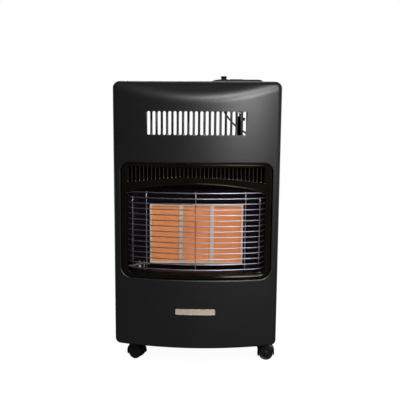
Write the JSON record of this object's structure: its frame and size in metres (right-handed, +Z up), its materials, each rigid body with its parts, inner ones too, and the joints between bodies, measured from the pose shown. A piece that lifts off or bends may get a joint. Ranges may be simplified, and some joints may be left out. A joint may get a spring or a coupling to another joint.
{
  "type": "portable gas cabinet heater",
  "caption": "Portable bottled-gas cabinet heater: bowed steel cabinet with a radiant burner behind a wire guard, top controls and swivel castors.",
  "frame": {"origin": "on the floor, under the middle of the overall width and depth", "axes": "+X to the right seen from the front, +Y from the guard towards the rear cover, +Z up"},
  "size_m": [0.4292, 0.3849, 0.7543],
  "materials": {
    "charcoal_paint": "satin powder coat",
    "gold_plate": "brushed",
    "gloss_enamel": "gloss",
    "chrome_wire": "polished",
    "dark_reflector": "polished",
    "cream_steel": "satin",
    "inner_steel": "satin",
    "plaque_ceramic": "matt porous ceramic",
    "copper_tube": "satin",
    "brass_metal": "satin",
    "pilot_steel": "bright",
    "white_ceramic": "glazed",
    "lead_rubber": "matt",
    "hose_rubber": "matt",
    "zinc_metal": "zinc plated",
    "black_plastic": "satin",
    "castor_plastic": "satin"
  },
  "bodies": {
    "cabinet": {"front_panel": "charcoal_paint", "badge_plate": "gold_plate", "top_cover": "charcoal_paint", "side_panel_right": "charcoal_paint", "side_panel_left": "charcoal_paint", "base_tray": "charcoal_paint", "bezel": "gloss_enamel", "wire_guard": "chrome_wire", "reflector_pan": "dark_reflector", "plaque_frame": "cream_steel", "burner_plenum": "inner_steel", "plaque_1": "plaque_ceramic", "plaque_2": "plaque_ceramic", "plaque_3": "plaque_ceramic", "mixing_tube_1": "inner_steel", "mixing_tube_2": "inner_steel", "mixing_tube_3": "inner_steel", "supply_tube_1": "copper_tube", "supply_tube_2": "copper_tube", "supply_tube_3": "copper_tube", "injector_rail": "brass_metal", "heat_shield": "inner_steel", "pilot_bracket": "inner_steel", "pilot_burner": "pilot_steel", "spark_electrode": "white_ceramic", "thermocouple": "brass_metal", "thermocouple_lead": "copper_tube", "pilot_tube": "copper_tube", "igniter_lead": "lead_rubber", "gas_valve": "brass_metal", "control_platform": "black_plastic", "piezo_barrel": "black_plastic", "piezo_nut": "zinc_metal", "hose_nozzle": "brass_metal", "gas_hose": "hose_rubber", "hose_clamp_upper": "zinc_metal", "hose_clamp_lower": "zinc_metal", "regulator": "zinc_metal"},
    "rear_cover": {"rear_cover": "charcoal_paint"},
    "tap": {"tap_plug": "brass_metal"},
    "knob": {"knob_spindle": "zinc_metal", "control_knob": "black_plastic"},
    "piezo_button": {"piezo_button": "black_plastic"},
    "regulator_switch": {"regulator_switch": "black_plastic"},
    "castor_front_left": {"castor_front_left_hood": "castor_plastic", "castor_front_left_axle": "zinc_metal"},
    "castor_front_left_wheel_a": {"castor_front_left_wheel_a": "castor_plastic"},
    "castor_front_left_wheel_b": {"castor_front_left_wheel_b": "castor_plastic"},
    "castor_front_right": {"castor_front_right_hood": "castor_plastic", "castor_front_right_axle": "zinc_metal"},
    "castor_front_right_wheel_a": {"castor_front_right_wheel_a": "castor_plastic"},
    "castor_front_right_wheel_b": {"castor_front_right_wheel_b": "castor_plastic"},
    "castor_rear_left": {"castor_rear_left_hood": "castor_plastic", "castor_rear_left_axle": "zinc_metal"},
    "castor_rear_left_wheel_a": {"castor_rear_left_wheel_a": "castor_plastic"},
    "castor_rear_left_wheel_b": {"castor_rear_left_wheel_b": "castor_plastic"},
    "castor_rear_right": {"castor_rear_right_hood": "castor_plastic", "castor_rear_right_axle": "zinc_metal"},
    "castor_rear_right_wheel_a": {"castor_rear_right_wheel_a": "castor_plastic"},
    "castor_rear_right_wheel_b": {"castor_rear_right_wheel_b": "castor_plastic"}
  },
  "joints": [
    {"name": "rear_cover_pull", "type": "slide", "parent": "cabinet", "child": "rear_cover", "axis": [0, 1, 0], "range_m": [0, 0.12]},
    {"name": "knob_turn", "type": "hinge", "parent": "cabinet", "child": "tap", "pos_m": [0.1005, -0.045, 0.7], "axis": [0, 0, 1], "range_deg": [0, 240]},
    {"name": "knob_push", "type": "slide", "parent": "tap", "child": "knob", "axis": [0, 0, -1], "range_m": [0, 0.005], "stiffness_N_per_m": 800, "springref_m": -0.002},
    {"name": "piezo_push", "type": "slide", "parent": "cabinet", "child": "piezo_button", "axis": [0, 0, -1], "range_m": [0, 0.0028], "stiffness_N_per_m": 1200, "springref_m": -0.002},
    {"name": "regulator_switch_turn", "type": "hinge", "parent": "cabinet", "child": "regulator_switch", "pos_m": [0.1055, -0.0685, 0.1577], "axis": [0, 1, 0], "range_deg": [0, 90]},
    {"name": "castor_front_left_swivel", "type": "hinge", "parent": "cabinet", "child": "castor_front_left", "pos_m": [-0.174, -0.085, 0.06], "axis": [0, 0, 1], "continuous": true},
    {"name": "castor_front_left_wheel_a_spin", "type": "hinge", "parent": "castor_front_left", "child": "castor_front_left_wheel_a", "pos_m": [-0.15987, -0.09251, 0.019], "axis": [0.4695, 0.8829, 0], "continuous": true},
    {"name": "castor_front_left_wheel_b_spin", "type": "hinge", "parent": "castor_front_left", "child": "castor_front_left_wheel_b", "pos_m": [-0.15987, -0.09251, 0.019], "axis": [0.4695, 0.8829, 0], "continuous": true},
    {"name": "castor_front_right_swivel", "type": "hinge", "parent": "cabinet", "child": "castor_front_right", "pos_m": [0.174, -0.085, 0.06], "axis": [0, 0, 1], "continuous": true},
    {"name": "castor_front_right_wheel_a_spin", "type": "hinge", "parent": "castor_front_right", "child": "castor_front_right_wheel_a", "pos_m": [0.18991, -0.08667, 0.019], "axis": [0.1045, 0.9945, 0], "continuous": true},
    {"name": "castor_front_right_wheel_b_spin", "type": "hinge", "parent": "castor_front_right", "child": "castor_front_right_wheel_b", "pos_m": [0.18991, -0.08667, 0.019], "axis": [0.1045, 0.9945, 0], "continuous": true},
    {"name": "castor_rear_left_swivel", "type": "hinge", "parent": "cabinet", "child": "castor_rear_left", "pos_m": [-0.174, 0.148, 0.06], "axis": [0, 0, 1], "continuous": true},
    {"name": "castor_rear_left_wheel_a_spin", "type": "hinge", "parent": "castor_rear_left", "child": "castor_rear_left_wheel_a", "pos_m": [-0.18946, 0.15214, 0.019], "axis": [-0.2588, -0.9659, 0], "continuous": true},
    {"name": "castor_rear_left_wheel_b_spin", "type": "hinge", "parent": "castor_rear_left", "child": "castor_rear_left_wheel_b", "pos_m": [-0.18946, 0.15214, 0.019], "axis": [-0.2588, -0.9659, 0], "continuous": true},
    {"name": "castor_rear_right_swivel", "type": "hinge", "parent": "cabinet", "child": "castor_rear_right", "pos_m": [0.174, 0.148, 0.06], "axis": [0, 0, 1], "continuous": true},
    {"name": "castor_rear_right_wheel_a_spin", "type": "hinge", "parent": "castor_rear_right", "child": "castor_rear_right_wheel_a", "pos_m": [0.182, 0.13414, 0.019], "axis": [0.866, 0.5, 0], "continuous": true},
    {"name": "castor_rear_right_wheel_b_spin", "type": "hinge", "parent": "castor_rear_right", "child": "castor_rear_right_wheel_b", "pos_m": [0.182, 0.13414, 0.019], "axis": [0.866, 0.5, 0], "continuous": true}
  ]
}
